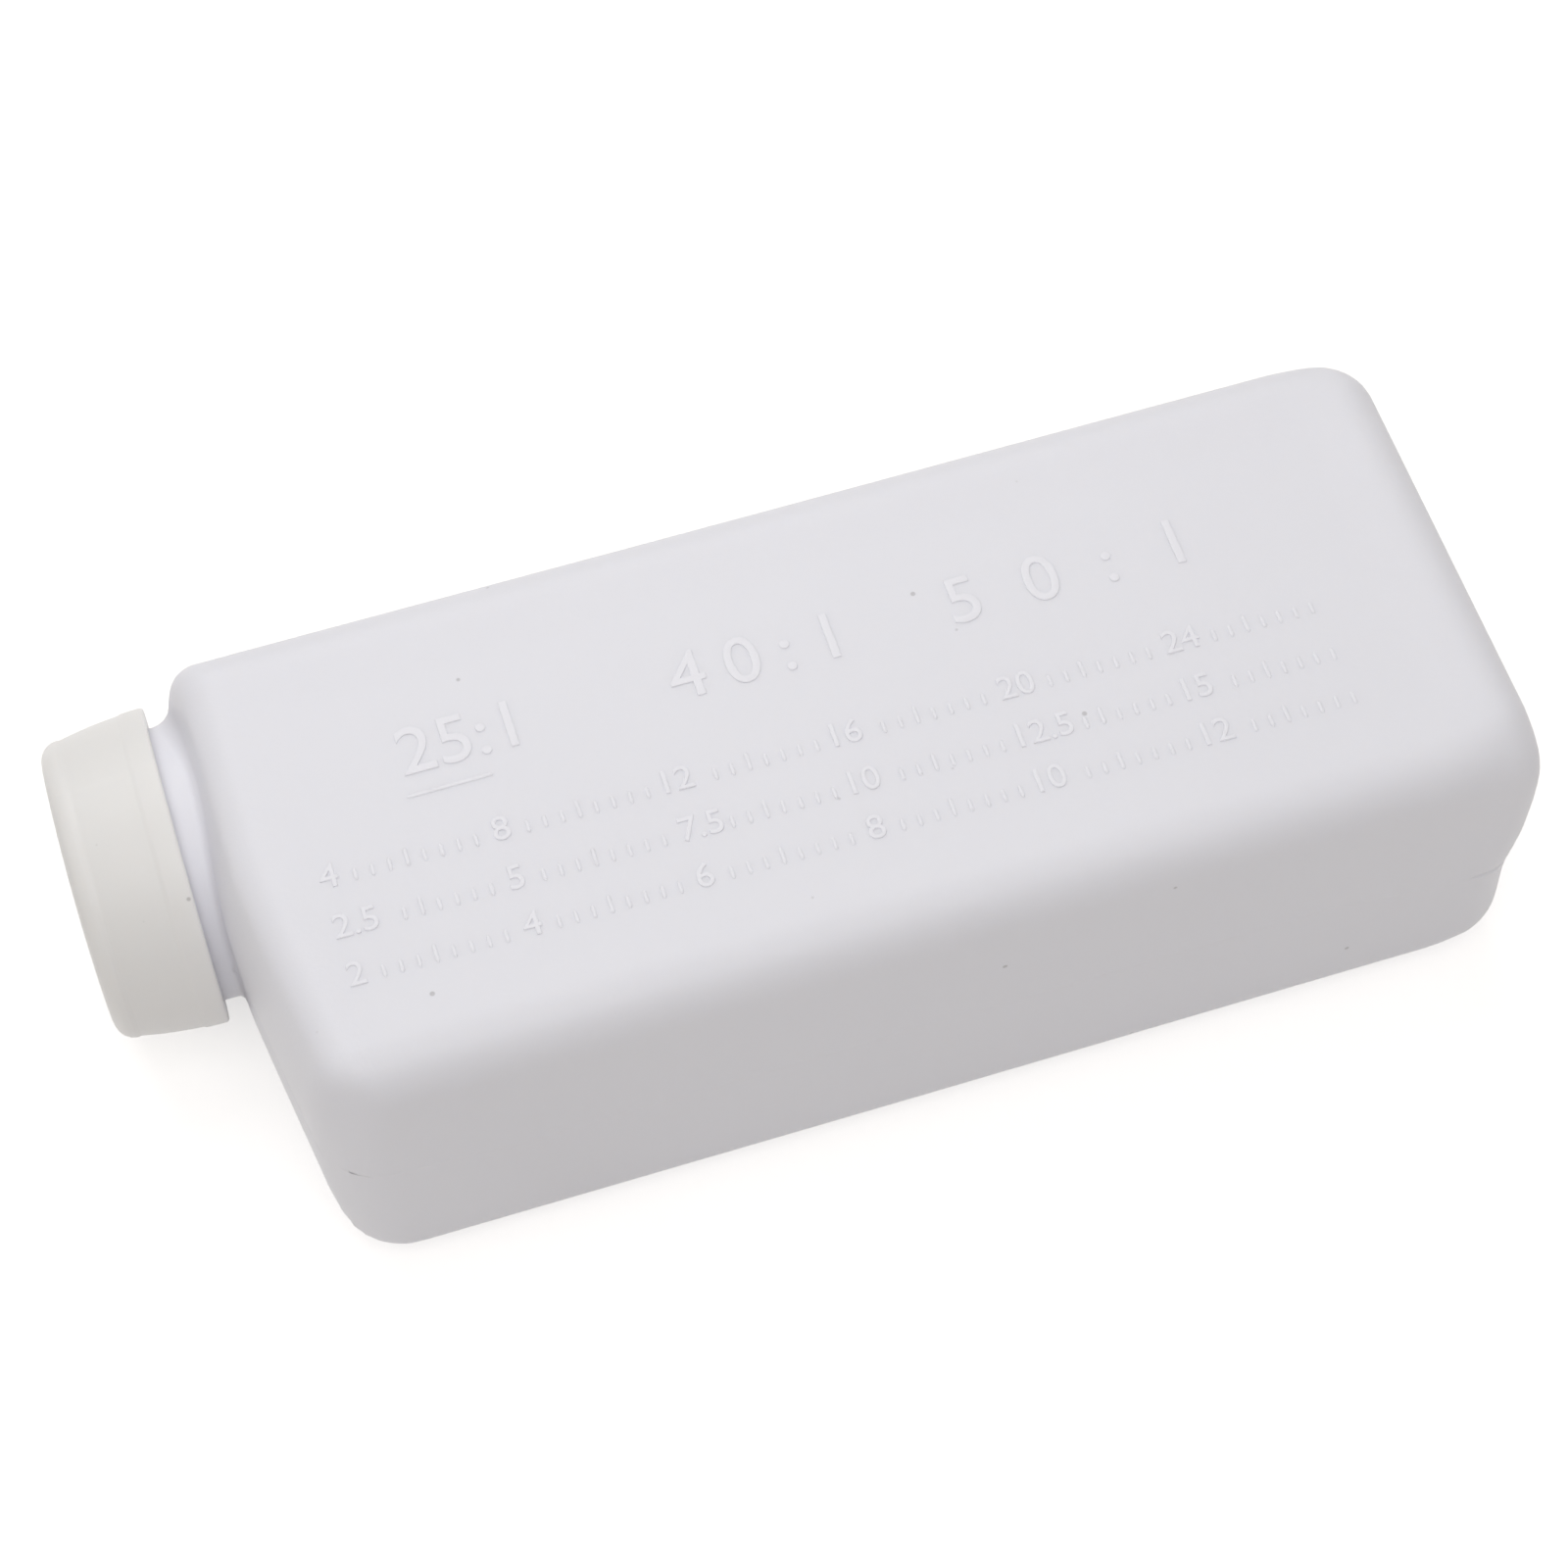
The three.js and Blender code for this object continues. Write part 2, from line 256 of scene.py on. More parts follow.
def wall_relief(x, y, z):
    """The walls' slight waves, from products and sums of sines, and the sunk middle of both panels."""
    up = z - BODY_MIDDLE_Z
    on_body = smooth_step(SHOULDER_X - ON_BODY_BLEND, SHOULDER_X + ON_BODY_BLEND, x)
    short = np.sin(x / SHORT_WAVES[0] + WAVE_START) * np.sin(y / SHORT_WAVES[1])
    long = np.sin(x / LONG_WAVES[0] + y / LONG_WAVES[1] + up / LONG_WAVES[2])
    wave = WALL_WAVE * on_body * (short * WAVE_SHARES[0] + long * WAVE_SHARES[1] + 1.0) / 2.0
    sink = smooth_step(*PANEL_MARGIN, BODY_WIDTH / 2 - np.abs(y - BODY_MIDDLE_Y))
    sink = sink * smooth_step(*PANEL_MARGIN, x - SHOULDER_X) * smooth_step(*PANEL_MARGIN, BASE_X - x)
    return wave + PANEL_SINK * sink * smooth_step(*SINK_PAST_MIDDLE, np.abs(up) / (BODY_HEIGHT / 2))


def bottle_field(p):
    """Body and neck joined by a fillet, with the relief on them. It is negative inside the bottle's
    outside and about a distance near it."""
    x, y, z = p[..., 0], p[..., 1], p[..., 2]
    fillet = mix(NECK_FILLET, NECK_FAR_FILLET, smooth_step(NECK_Y, NECK_Y + NECK_RADIUS, y))
    joined = round_join(body_field(x, y, z), neck_field(x, y, z), fillet)
    return joined + parting_relief(x, y, z) + wall_relief(x, y, z)


def field_slope(p):
    """The field's gradient, from differences over one small step each way."""
    slope = np.empty_like(p)
    for axis in range(3):
        shift = np.zeros(3)
        shift[axis] = FIELD_STEP
        slope[..., axis] = (bottle_field(p + shift) - bottle_field(p - shift)) / (2 * FIELD_STEP)
    return slope


def settle_on_skin(p, rounds=9):
    """Newton steps along the gradient carry every point onto the field's zero surface."""
    for _ in range(rounds):
        slope = field_slope(p)
        steep = np.maximum((slope ** 2).sum(-1), 0.05)
        p = p - slope * (bottle_field(p) / steep)[..., None] * 0.9
    return p


def section_outline(corner_steps, long_steps, short_steps):
    """The body's rectangle with round corners, as (y, z) from its middle, counter-clockwise seen
    from the base. The points of the two sides crowd towards mid depth, where the parting line runs."""
    half_y = BODY_WIDTH / 2
    half_z = BODY_HEIGHT / 2
    r = LONG_EDGE_RADIUS
    t = (np.arange(short_steps) + 0.5) / short_steps * 2.0 - 1.0
    even, crowded = MID_DEPTH_CROWDING
    side_z = (half_z - r) * np.sign(t) * (even * np.abs(t) + crowded * np.abs(t) ** MID_DEPTH_POWER)
    s = (np.arange(long_steps) + 0.5) / long_steps * 2.0 - 1.0
    panel_y = (half_y - r) * s
    angle = np.arange(corner_steps + 1) / corner_steps * (np.pi / 2)
    arc_y, arc_z = r * np.cos(angle), r * np.sin(angle)
    parts = [
        (np.full(short_steps, half_y), side_z),
        (half_y - r + arc_y, half_z - r + arc_z),
        (-panel_y, np.full(long_steps, half_z)),
        (-(half_y - r) - arc_y[::-1], half_z - r + arc_z[::-1]),
        (np.full(short_steps, -half_y), -side_z),
        (-(half_y - r) - arc_y, -(half_z - r) - arc_z),
        (panel_y, np.full(long_steps, -half_z)),
        (half_y - r + arc_y[::-1], -(half_z - r) - arc_z[::-1]),
    ]
    y = np.concatenate([part[0] for part in parts])
    z = np.concatenate([part[1] for part in parts])
    return np.stack([y, z], axis=-1)


def base_rings(outline, near_middle):
    """Rings from the middle of the base to its edge. The inner ones lie wholly on the pinch-off line,
    the outer ones only where they cross it."""
    half = np.array([BODY_WIDTH / 2, BODY_HEIGHT / 2])
    shares = np.concatenate([np.linspace(0.02, 0.52, 12), np.linspace(0.56, 0.92, 24), [1.0]])
    rings = []
    for share in shares:
        shifted = 1.0 - (1.0 - near_middle) * smooth_step(0.0, 0.8, share)
        ring = outline * share * (half - BASE_EDGE_RADIUS) / half
        ring[:, 1] += shifted[:, 1] * parting_line(BASE_X)
        rings.append((BASE_X, ring))
    return rings


def heel_rings(outline, near_middle):
    """Rings over the base's edge, a quarter round."""
    half = np.array([BODY_WIDTH / 2, BODY_HEIGHT / 2])
    rings = []
    for angle in np.linspace(0.10, 1.0, 16) * (np.pi / 2):
        drop = BASE_EDGE_RADIUS * (1.0 - np.sin(angle))
        back = BASE_EDGE_RADIUS * (1.0 - np.cos(angle))
        ring = outline * (half - drop) / half + near_middle * parting_line(BASE_X)
        rings.append((BASE_X - back, ring))
    return rings


def shoulder_rings(outline, near_middle, circle, wall_end):
    """Rings from the end of the walls over the shoulder's edge to the neck's foot, and up the neck."""
    shift = near_middle * parting_line(wall_end)
    edge_x = shoulder_plane(outline[:, 0] + BODY_MIDDLE_Y, outline[:, 1] + BODY_MIDDLE_Z)
    foot_x = shoulder_plane(circle[:, 0] + BODY_MIDDLE_Y, circle[:, 1] + BODY_MIDDLE_Z)
    neck_end = MOUTH_X + 0.8 * MM
    rings = []
    for share in np.linspace(0.1, 1.0, 14):
        rings.append((mix(wall_end, edge_x, share), outline + shift))
    for share in 1.0 - (1.0 - np.linspace(0.05, 1.0, 26)) ** 1.3:
        rings.append((mix(edge_x, foot_x, share), mix(outline, circle, share) + shift))
    for share in np.linspace(0.06, 1.0, 42) ** 1.3:
        rings.append((mix(foot_x, neck_end, share), circle + shift * (1.0 - share)))
    return rings


def outside_rings(outline):
    """Rings from the middle of the base, along the walls and over the shoulder to the mouth. Each
    point is only roughly placed: it is settled on the skin afterwards."""
    around = np.arctan2(outline[:, 1], outline[:, 0] + BODY_MIDDLE_Y - NECK_Y)
    circle = np.stack([np.cos(around), np.sin(around)], axis=-1) * NECK_RADIUS
    circle[:, 0] += NECK_Y - BODY_MIDDLE_Y
    near_middle = np.zeros_like(outline)
    near_middle[:, 1] = 1.0 - smooth_step(0.0, 0.5 * BODY_HEIGHT, np.abs(outline[:, 1]))
    wall_end = SHOULDER_X + SHOULDER_DROP + SHOULDER_DOME + 4.0 * MM
    walls = [
        (x, outline + near_middle * parting_line(x))
        for x in np.linspace(BASE_X - BASE_EDGE_RADIUS - 1.0 * MM, wall_end, 70)]
    rings = base_rings(outline, near_middle) + heel_rings(outline, near_middle) + walls
    rings += shoulder_rings(outline, near_middle, circle, wall_end)
    points = np.empty((len(rings), len(outline), 3))
    for ring, (x, yz) in zip(points, rings):
        ring[:, 0] = x
        ring[:, 1:] = yz + [BODY_MIDDLE_Y, BODY_MIDDLE_Z]
    return points


def turn_over_mouth(ring, inner_ring):
    """The mouth's rim: a half round from the outside of the neck to its bore."""
    middle = (ring + inner_ring) / 2
    half = (ring - inner_ring) / 2
    reach = np.array([MOUTH_X - ring[0, 0], 0.0, 0.0])
    angle = np.linspace(0.0, np.pi, 9)[1:-1, None, None]
    return middle + half * np.cos(angle) + reach * np.sin(angle)


def loft_faces(levels, count):
    """Quads from each ring to the next, and at both ends a fan of triangles to a middle point."""
    level = np.arange(levels - 1)[:, None] * count
    here = np.arange(count)
    after = (here + 1) % count
    quads = np.stack([level + here, level + count + here, level + count + after, level + after], axis=-1)
    first = np.column_stack([here, after, np.full(count, levels * count)])
    last_level = (levels - 1) * count
    last = np.column_stack([last_level + after, last_level + here, np.full(count, levels * count + 1)])
    return quads.reshape(-1, 4).tolist() + first.tolist() + last.tolist()


def mesh_piece(name, points, faces):
    mesh = bpy.data.meshes.new(name)
    mesh.from_pydata(points.tolist(), [], faces)
    mesh.shade_smooth()
    mesh.update()
    piece = bpy.data.objects.new(name, mesh)
    bpy.context.scene.collection.objects.link(piece)
    return piece


def skin_mesh(name, rings):
    """A closed mesh from rings of equal length. The first and last rings close to their middle points."""
    points = np.vstack([rings.reshape(-1, 3), rings[0].mean(0), rings[-1].mean(0)])
    return mesh_piece(name, points, loft_faces(*rings.shape[:2]))


def bottle_skin():
    """Outside rings settled on the skin, the same rings moved in by the wall, and the rim between them."""
    outside = settle_on_skin(outside_rings(section_outline(8, 34, 31)))
    slope = field_slope(outside)
    normal = slope / np.linalg.norm(slope, axis=-1, keepdims=True)
    in_neck = smooth_step(SHOULDER_X + 3.0 * MM, SHOULDER_X - 1.0 * MM, outside[..., :1])
    inside = outside - normal * (BODY_WALL + (NECK_WALL - BODY_WALL) * in_neck)
    rim = turn_over_mouth(outside[-1], inside[-1])
    return skin_mesh("bottle_skin", np.concatenate([outside, rim, inside[::-1]]))


bottle = bottle_skin()


# Polyethylene as it comes from the mould: cool white with a very slight mottling, a satin skin
# with a fine grain, and a few small dark specks.
PLASTIC_IOR = 1.5
PLASTIC_GLOSS = 0.4
GLOW_RADIUS = (1.0, 0.95, 0.9)
GLOW_SCALE = 0.0015
MOTTLE_SCALE = 28.0
MOTTLE_DETAIL = 3.0
SPECK_STRENGTH = 0.45
SPECK_EDGE = 1.6
SPECK_RARITY = 0.94
SPECK_COLOR = (0.30, 0.28, 0.27)
GRAIN_SCALE = 1400.0
GRAIN_DETAIL = 4.0
GRAIN_DEPTH = 0.0001
BOTTLE_WHITES = ((0.870, 0.870, 0.925), (0.850, 0.850, 0.905))


def add_node(owner, kind, settings):
    """A node of this kind in a material or world, with its inputs set by name or number."""
    node = owner.node_tree.nodes.new("ShaderNode" + kind)
    for socket, value in settings.items():
        node.inputs[socket].default_value = value
    return node


def color_mix(owner, first, second):
    """A node that mixes two colours by its factor."""
    node = owner.node_tree.nodes.new("ShaderNodeMix")
    node.data_type = "RGBA"
    node.inputs["A"].default_value = (*first, 1.0)
    node.inputs["B"].default_value = (*second, 1.0)
    return node


def plain_material(name, settings):
    """A new material and its shader, with the shader's inputs set."""
    material = bpy.data.materials.new(name)
    material.use_nodes = True
    shader = material.node_tree.nodes["Principled BSDF"]
    for socket, value in settings.items():
        shader.inputs[socket].default_value = value
    return material, shader


def polyethylene(name, whites, roughness, translucence, grain, speck_scale, speck_size):
    """The base colour drifts between two whites on a large noise. Specks are the middles of a few
    cells, and the bump is a fine noise."""
    material, shader = plain_material(name, {
        "Roughness": roughness,
        "IOR": PLASTIC_IOR,
        "Specular IOR Level": PLASTIC_GLOSS,
        "Subsurface Weight": translucence,
        "Subsurface Radius": GLOW_RADIUS,
        "Subsurface Scale": GLOW_SCALE})
    links = material.node_tree.links
    place = add_node(material, "TexCoord", {})
    drift = add_node(material, "TexNoise", {"Scale": MOTTLE_SCALE, "Detail": MOTTLE_DETAIL})
    mottle = color_mix(material, *whites)
    cells = add_node(material, "TexVoronoi", {"Scale": speck_scale})
    speck = add_node(material, "MapRange", {
        "From Min": speck_size,
        "From Max": speck_size * SPECK_EDGE,
        "To Min": SPECK_STRENGTH,
        "To Max": 0.0})
    chance = add_node(material, "SeparateColor", {})
    rare = add_node(material, "Math", {1: SPECK_RARITY})
    rare.operation = "GREATER_THAN"
    amount = add_node(material, "Math", {})
    amount.operation = "MULTIPLY"
    dirt = color_mix(material, whites[0], SPECK_COLOR)
    fine = add_node(material, "TexNoise", {"Scale": GRAIN_SCALE, "Detail": GRAIN_DETAIL})
    bump = add_node(material, "Bump", {"Strength": grain, "Distance": GRAIN_DEPTH})
    for texture in (drift, cells, fine):
        links.new(place.outputs["Object"], texture.inputs["Vector"])
    links.new(drift.outputs["Fac"], mottle.inputs["Factor"])
    links.new(mottle.outputs["Result"], dirt.inputs["A"])
    links.new(cells.outputs["Distance"], speck.inputs["Value"])
    links.new(cells.outputs["Color"], chance.inputs["Color"])
    links.new(chance.outputs["Red"], rare.inputs[0])
    links.new(speck.outputs["Result"], amount.inputs[0])
    links.new(rare.outputs["Value"], amount.inputs[1])
    links.new(amount.outputs["Value"], dirt.inputs["Factor"])
    links.new(dirt.outputs["Result"], shader.inputs["Base Color"])
    links.new(fine.outputs["Fac"], bump.inputs["Height"])
    links.new(bump.outputs["Normal"], shader.inputs["Normal"])
    return material


bottle_plastic = polyethylene(
    "bottle_polyethylene", BOTTLE_WHITES, roughness=0.42, translucence=0.4, grain=0.25,
    speck_scale=250.0, speck_size=0.07)
bottle.data.materials.append(bottle_plastic)
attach(bottle, "bottle")


# The neck's thread is part of the same moulding: a rounded ridge of two turns that fades in
# and out, with the pitch of the cap's thread.
THREAD_PITCH = 4.5 * MM
THREAD_TURNS = 2.0
THREAD_HEIGHT = 1.7 * MM
THREAD_HALF_WIDTH = 1.0 * MM
NECK_THREAD_START = MOUTH_X + 1.8 * MM + THREAD_TURNS * THREAD_PITCH
THREAD_ROOT_SINK = 0.4 * MM
THREAD_STEPS = 72
THREAD_FADE = 8.0
THREAD_END = 0.05
THREAD_ROUND = 1.3


def thread_ridge(name, start_x, root_radius, height, turns, sink):
    """A half-cosine ridge carried along a right-hand helix about the neck's axis. Its height fades
    to nothing over the last eighth of a turn at each end, and its foot is sunk into the wall. A
    negative height stands inwards."""
    steps = int(turns * THREAD_STEPS)
    turn = np.linspace(0.0, turns, steps + 1)
    fade = np.minimum(1.0, np.minimum(turn, turns - turn) * THREAD_FADE + THREAD_END)
    across = np.linspace(-1.0, 1.0, 13)
    lift = height * np.cos(across * np.pi / 2) ** THREAD_ROUND
    radius = root_radius + lift[None, :] * fade[:, None]
    foot = root_radius - math.copysign(sink, height)
    radius = np.concatenate([radius, np.full((steps + 1, 1), foot)], axis=1)
    offset = np.concatenate([across * THREAD_HALF_WIDTH, [0.0]])
    angle = turn[:, None] * 2 * np.pi
    x = start_x - THREAD_PITCH * turn[:, None] + offset[None, :]
    y = NECK_Y + radius * np.cos(angle)
    z = BODY_MIDDLE_Z - radius * np.sin(angle)
    rings = np.stack([x, y, z], axis=-1)
    if height > 0:
        rings = rings[:, ::-1]
    return skin_mesh(name, rings)


neck_thread = thread_ridge(
    "neck_thread", NECK_THREAD_START, NECK_RADIUS, THREAD_HEIGHT, THREAD_TURNS, THREAD_ROOT_SINK)
neck_thread.data.materials.append(bottle_plastic)
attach(neck_thread, "bottle")
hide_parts("bottle")


# The marks stand up a little from the front panel, moulded with it: a row of large mixing
# ratios, a line under the first, and three graduated rows with the measures for each ratio.
MARK_HEIGHT = 0.17 * MM
MARK_SINK = 0.15 * MM
MARK_ROUND = 0.12
MARK_SHARP_ANGLE = math.radians(20.0)
# The marks' whites are a touch lighter than the bottle's own whites: a painted highlight for the light that
# the raised marks catch.
MARK_HIGHLIGHT_WHITES = ((0.895, 0.895, 0.945), (0.875, 0.875, 0.925))
FONT_NUMERAL_HEIGHT = 0.7
LARGE_HEIGHT = 7.6
SMALL_HEIGHT = 3.7
RATIOS_Y = 5.3 * MM
RATIOS = (("25:1", -51.0, 1.0), ("40:1", -12.5, 1.45), ("50:1", 28.0, 2.1))
UNDERLINE_FROM = (-51.6 * MM, 1.9 * MM)
UNDERLINE_TO = (-39.5 * MM, 1.9 * MM)
MEASURE_ROWS = (
    (-8.6 * MM, ("4", "8", "12", "16", "20", "24")),
    (-16.6 * MM, ("2.5", "5", "7.5", "10", "12.5", "15")),
    (-24.2 * MM, ("2", "4", "6", "8", "10", "12")))
MEASURES_FROM = -66.0 * MM
MEASURE_STEP = 24.0 * MM
TICKS_PER_STEP = 10
TICK_LENGTHS = (2.0 * MM, 2.9 * MM)
TICK_WIDTH = 0.55 * MM
BAR_END_SHARE = 0.4
NUMERAL_GAP = 1.2 * MM


def panel_height(x, y):
    """Z of the front panel's skin over each (x, y), by Newton steps straight up or down."""
    p = np.stack([x, y, np.full_like(x, bottle_high.z)], axis=-1)
    for _ in range(6):
        slope = np.maximum(field_slope(p)[..., 2], 0.3)
        p[..., 2] -= bottle_field(p) / slope
    return p[..., 2]


def numerals(text, height, spread):
    """Plates with rounded edges in the shape of the numerals, as points and faces. The points are in
    metres from the left end of the base line, and rise from -MARK_SINK to MARK_HEIGHT."""
    thickness = (MARK_HEIGHT + MARK_SINK) / MM
    curve = bpy.data.curves.new("numerals", "FONT")
    curve.body = text
    curve.size = height / FONT_NUMERAL_HEIGHT
    curve.space_character = spread
    curve.bevel_depth = MARK_ROUND
    curve.bevel_resolution = 2
    curve.extrude = thickness / 2 - MARK_ROUND
    curve.offset = -MARK_ROUND / 2
    curve.resolution_u = 5
    shown = bpy.data.objects.new("numerals", curve)
    bpy.context.scene.collection.objects.link(shown)
    view = bpy.context.evaluated_depsgraph_get()
    work = bmesh.new()
    flat = bpy.data.meshes.new_from_object(shown.evaluated_get(view))
    work.from_mesh(flat)
    bmesh.ops.remove_doubles(work, verts=work.verts, dist=0.002)
    bmesh.ops.recalc_face_normals(work, faces=work.faces)
    work.verts.index_update()
    points = np.array([vertex.co[:] for vertex in work.verts])
    faces = [[vertex.index for vertex in face.verts] for face in work.faces]
    work.free()
    bpy.data.objects.remove(shown)
    bpy.data.curves.remove(curve)
    bpy.data.meshes.remove(flat)
    points[:, 0] -= points[:, 0].min()
    points = points * MM
    points[:, 2] += (MARK_HEIGHT - MARK_SINK) / 2
    return points, faces


def bar(start, end, width):
    """A low bar from start to end: half an ellipse carried along the line, smaller at its ends, with
    a sunk foot."""
    start, end = np.array(start), np.array(end)
    length = np.linalg.norm(end - start)
    along = (end - start) / length
    across = np.array([-along[1], along[0]])
    places = np.array([0.0, width / 2, length - width / 2, length])
    share = np.array([BAR_END_SHARE, 1.0, 1.0, BAR_END_SHARE])
    angle = np.linspace(0.0, np.pi, 7)
    side = np.append(np.cos(angle), 0.0) * width / 2
    lift = np.append(MARK_HEIGHT * np.sin(angle), -MARK_SINK)
    flat = start + places[:, None, None] * along + share[:, None, None] * side[None, :, None] * across
    rings = np.concatenate([flat, (share[:, None] * lift)[..., None]], axis=-1)
    points = np.vstack([rings.reshape(-1, 3), rings[0].mean(0), rings[-1].mean(0)])
    return points, loft_faces(*rings.shape[:2])


def measure_row(base_y, labels):
    """Numerals at even steps, with ticks between them where they leave room."""
    parts = []
    for step, label in enumerate(labels):
        points, faces = numerals(label, SMALL_HEIGHT, 1.0)
        left = MEASURES_FROM + step * MEASURE_STEP
        room_from = left + points[:, 0].max() + NUMERAL_GAP
        parts.append((points + [left, base_y, 0.0], faces))
        for tick in range(1, TICKS_PER_STEP):
            x = left + tick * MEASURE_STEP / TICKS_PER_STEP
            length = TICK_LENGTHS[1] if tick == TICKS_PER_STEP / 2 else TICK_LENGTHS[0]
            if x > room_from:
                parts.append(bar((x, base_y), (x, base_y + length), TICK_WIDTH))
    return parts


def panel_marks():
    """All the marks as one piece. Each point's lift is added to the height of the skin under it."""
    parts = [bar(UNDERLINE_FROM, UNDERLINE_TO, TICK_WIDTH)]
    for text, left, spread in RATIOS:
        points, faces = numerals(text, LARGE_HEIGHT, spread)
        parts.append((points + [left * MM, RATIOS_Y, 0.0], faces))
    for base_y, labels in MEASURE_ROWS:
        parts.extend(measure_row(base_y, labels))
    sizes = [len(points) for points, _ in parts]
    starts = np.cumsum([0] + sizes[:-1])
    faces = [[start + index for index in face] for start, (_, own) in zip(starts, parts) for face in own]
    points = np.concatenate([points for points, _ in parts])
    points[:, 2] += panel_height(points[:, 0], points[:, 1])
    piece = mesh_piece("panel_marks", points, faces)
    piece.data.set_sharp_from_angle(angle=MARK_SHARP_ANGLE)
    return piece


marks = panel_marks()
# The marks are the bottle's plastic, and their lighter whites are painted highlight.
marks.data.materials.append(polyethylene(
    "marks_painted_highlight_polyethylene", MARK_HIGHLIGHT_WHITES, roughness=0.42, translucence=0.0, grain=0.25,
    speck_scale=250.0, speck_size=0.001))
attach(marks, "bottle")


# The cap is one injection-moulded piece: its side curves in towards a rounded edge, a narrow
# plain band runs round the rim, and the end face is slightly crowned.
CAP_RIM_X = cap_high.x
CAP_END_X = cap_low.x
CAP_RADIUS = (cap_high.y - cap_low.y) / 2
CAP_BORE_RADIUS = 20.4 * MM
CAP_TAPER = 2.2 * MM
CAP_CROWN = 0.6 * MM
CAP_EDGE_RADIUS = 2.8 * MM
CAP_END_WALL = 1.8 * MM
CAP_LIP_ROUND = 0.5 * MM
BAND_HEIGHT = 3.4 * MM
BAND_STEP = 0.16 * MM
BAND_EDGE = 0.35 * MM
POCKET_RADIUS = 19.3 * MM
POCKET_X = MOUTH_X + 0.3 * MM
CAP_SIDES = 288
CAP_LINE_HEIGHT = 0.07 * MM
CAP_LINE_ANGLE = math.radians(277.0)
CAP_LINE_WIDTH = math.radians(1.4)
CAP_THREAD_HEIGHT = 1.3 * MM
CAP_THREAD_WANTED = CAP_RIM_X - 1.6 * MM
CAP_WHITES = ((0.878, 0.870, 0.860), (0.858, 0.850, 0.835))


def cap_profile():
    """(x, radius) from the middle of the end face, over the side and the rim, and back up the hollow
    to its end."""
    height = CAP_RIM_X - CAP_END_X
    side_top = height - CAP_CROWN - CAP_EDGE_RADIUS
    edge_radius = CAP_RADIUS - CAP_TAPER * (side_top / height) ** 2 - CAP_EDGE_RADIUS
    across = np.linspace(0.03, 1.0, 16)
    crown = np.column_stack([CAP_END_X + CAP_CROWN * across ** 2, edge_radius * across])
    turn = np.linspace(0.0, 1.0, 12)[1:] * (np.pi / 2)
    edge = np.column_stack([
        CAP_END_X + CAP_CROWN + CAP_EDGE_RADIUS * (1 - np.cos(turn)),
        edge_radius + CAP_EDGE_RADIUS * np.sin(turn)])
    h = np.linspace(side_top, CAP_LIP_ROUND, 40)[1:]
    band = BAND_STEP * smooth_step(BAND_HEIGHT, BAND_HEIGHT + BAND_EDGE, h)
    side = np.column_stack([CAP_RIM_X - h, CAP_RADIUS - CAP_TAPER * (h / height) ** 2 - band])
    lip_turn = np.linspace(0.0, np.pi / 2, 6)[1:]
    lip = np.column_stack([
        CAP_RIM_X - CAP_LIP_ROUND * (1 - np.sin(lip_turn)),
        CAP_RADIUS - CAP_LIP_ROUND * (1 - np.cos(lip_turn))])
    bore_lip = np.column_stack([
        CAP_RIM_X - CAP_LIP_ROUND * (1 - np.cos(lip_turn)),
        CAP_BORE_RADIUS + CAP_LIP_ROUND * (1 - np.sin(lip_turn))])
    end_x = CAP_END_X + CAP_CROWN + CAP_END_WALL
    hollow = np.array([
        [POCKET_X, CAP_BORE_RADIUS], [POCKET_X, POCKET_RADIUS],
        [end_x, POCKET_RADIUS], [end_x, 0.1 * POCKET_RADIUS]])
    return np.vstack([crown, edge, side, lip, bore_lip, hollow])


def cap_shell(profile):
    """The profile is carried round the neck's axis. The mould's parting line is a low bell-shaped
    ridge along the side."""
    angle = np.arange(CAP_SIDES) / CAP_SIDES * 2 * np.pi
    outer_lip = CAP_BORE_RADIUS + CAP_LIP_ROUND
    on_side = smooth_step(outer_lip, CAP_BORE_RADIUS + 2 * CAP_LIP_ROUND, profile[:, 1:])
    line = CAP_LINE_HEIGHT * bell(angle - CAP_LINE_ANGLE, CAP_LINE_WIDTH)
    radius = profile[:, 1:] + on_side * line
    x = np.repeat(profile[:, :1], CAP_SIDES, axis=1)
    y = NECK_Y + radius * np.cos(angle)
    z = BODY_MIDDLE_Z - radius * np.sin(angle)
    return skin_mesh("cap_shell", np.stack([x, y, z], axis=-1))


cap_piece = cap_shell(cap_profile())
cap_plastic = polyethylene(
    "cap_polyethylene", CAP_WHITES, roughness=0.38, translucence=0.4, grain=0.2,
    speck_scale=300.0, speck_size=0.08)
cap_piece.data.materials.append(cap_plastic)
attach(cap_piece, "cap")
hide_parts("cap")

# Its own thread runs half a pitch away from the neck's, so that the two ridges never meet.
turns_apart = (CAP_THREAD_WANTED - NECK_THREAD_START) / THREAD_PITCH + 0.5
CAP_THREAD_START = CAP_THREAD_WANTED - THREAD_PITCH * (turns_apart % 1.0)
cap_thread = thread_ridge(
    "cap_thread", CAP_THREAD_START, CAP_BORE_RADIUS, -CAP_THREAD_HEIGHT, THREAD_TURNS, THREAD_ROOT_SINK)
cap_thread.data.materials.append(cap_plastic)
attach(cap_thread, "cap")


# The sealing disc is punched from a sheet of white closed-cell foam and lies in the end of the cap.
FOAM_WHITES = ((0.86, 0.85, 0.81), (0.79, 0.78, 0.74))
FOAM_ROUGHNESS = 0.75
FOAM_GLOSS = 0.25
FOAM_DRIFT_SCALE = 120.0
FOAM_CELL_SCALE = 2600.0
FOAM_CELL_STRENGTH = 0.5
FOAM_CELL_DEPTH = 0.0001


